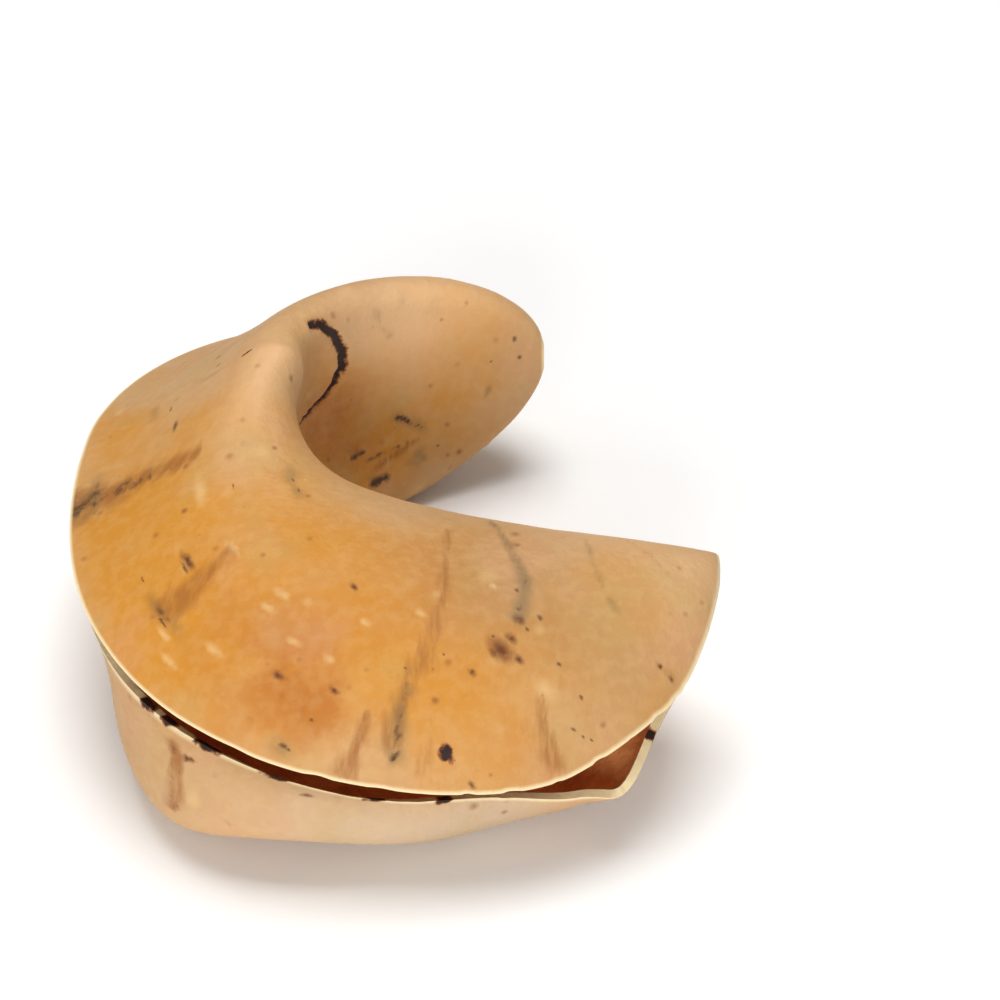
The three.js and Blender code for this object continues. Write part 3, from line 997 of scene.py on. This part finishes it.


# The inside's colours are raised well above the crust's: painted light that stands in for the light
# reaching into the mouth.
insideSkin = {
    "brown": (0.92, 0.42, 0.14, 1),
    "dark": (0.7, 0.25, 0.07, 1),
    "mottle": (300.0, 0.3, 0.7),  # scale, and the noise values that become 0 and 1
    "ragged": (700.0, 0.3, 0.7),
    "raggedReach": 0.45,
    "rimWidth": (0.35, 0.75),
    "crumb": (1200.0, 0.3, 0.7),
    "bump": (0.6, 0.0001),  # strength, distance
    "roughness": 0.75,
}


def makeInside():
    material, tree, shader = newMaterial("toastedInsideWithPaintedLight")
    place = addNode(tree, "ShaderNodeTexCoord").outputs["Object"]
    mottle = addPatch(tree, place, *insideSkin["mottle"])
    color = addMix(tree, mottle, insideSkin["brown"], insideSkin["dark"])
    ragged = addPatch(tree, place, *insideSkin["ragged"])
    fromRim = readAttribute(tree, "fromRim")
    ragged = addMath(tree, "MULTIPLY_ADD", ragged, -insideSkin["raggedReach"], fromRim)
    color = addMix(tree, addRange(tree, ragged, *reversed(insideSkin["rimWidth"])), color, crust["rim"])
    tree.links.new(color, shader.inputs["Base Color"])
    crumb = addPatch(tree, place, *insideSkin["crumb"])
    tree.links.new(addBump(tree, crumb, *insideSkin["bump"]), shader.inputs["Normal"])
    shader.inputs["Roughness"].default_value = insideSkin["roughness"]
    return material


print("baking its skin")
waferShell.data.materials.append(makeCrust())
waferShell.data.materials.append(makeInside())
print("giving it its wall")
addWall(waferShell)
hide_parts("cookie")
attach(waferShell, "root")
print("faces", len(waferShell.data.polygons))

table = {"half": 1.5, "color": (0.95, 0.945, 0.935, 1), "roughness": 0.8}


def makeTable():
    bpy.ops.mesh.primitive_plane_add(size=2 * table["half"], location=(0, 0, 0))
    piece = bpy.context.active_object
    piece.name = "tableTop"
    material, _, shader = newMaterial("paleTable")
    shader.inputs["Base Color"].default_value = table["color"]
    shader.inputs["Roughness"].default_value = table["roughness"]
    piece.data.materials.append(material)


lamps = {
    "key": {"at": (0.03, 0.11, 0.6), "size": 0.35, "watts": 2.95},
    "front": {"at": (-0.2, -0.72, 0.22), "size": 0.35, "watts": 4.3},
}
world = {"color": (1, 1, 1, 1), "strength": 0.28}


def makeLights():
    for name, lamp in lamps.items():
        bpy.ops.object.light_add(type="AREA", location=lamp["at"])
        light = bpy.context.active_object
        light.name = name + "Lamp"
        light.data.size = lamp["size"]
        light.data.energy = lamp["watts"]
        light.rotation_euler = (-Vector(lamp["at"])).to_track_quat("-Z", "Y").to_euler()
    bpy.context.scene.world = bpy.data.worlds.new("studio")
    bpy.context.scene.world.use_nodes = True
    background = bpy.context.scene.world.node_tree.nodes["Background"]
    background.inputs["Color"].default_value = world["color"]
    background.inputs["Strength"].default_value = world["strength"]


camera = {
    "turn": -4.36,
    "down": 36.95,
    "roll": -1.17,
    "aim": (11.84, 6.48, 10.0),
    "distance": 205.0,
    "lens": 71.83,
    "sensor": 36.0,
    "nearest": 0.01,
}


def makeCamera():
    turn, down, roll = (math.radians(camera[k]) for k in ("turn", "down", "roll"))
    aim = Vector(camera["aim"]) * mm
    back = Vector((math.sin(turn) * math.cos(down), -math.cos(turn) * math.cos(down), math.sin(down)))
    bpy.ops.object.camera_add(location=aim + back * camera["distance"] * mm)
    seer = bpy.context.active_object
    seer.data.lens = camera["lens"]
    seer.data.sensor_width = camera["sensor"]
    seer.rotation_euler = (-back).to_track_quat("-Z", "Y").to_euler()
    seer.rotation_euler.rotate_axis("Z", roll)
    seer.data.clip_start = camera["nearest"]
    bpy.context.scene.camera = seer


print("laying the table, and placing the lamps and the camera")
makeTable()
makeLights()
makeCamera()
bpy.context.scene.view_settings.view_transform = "Standard"
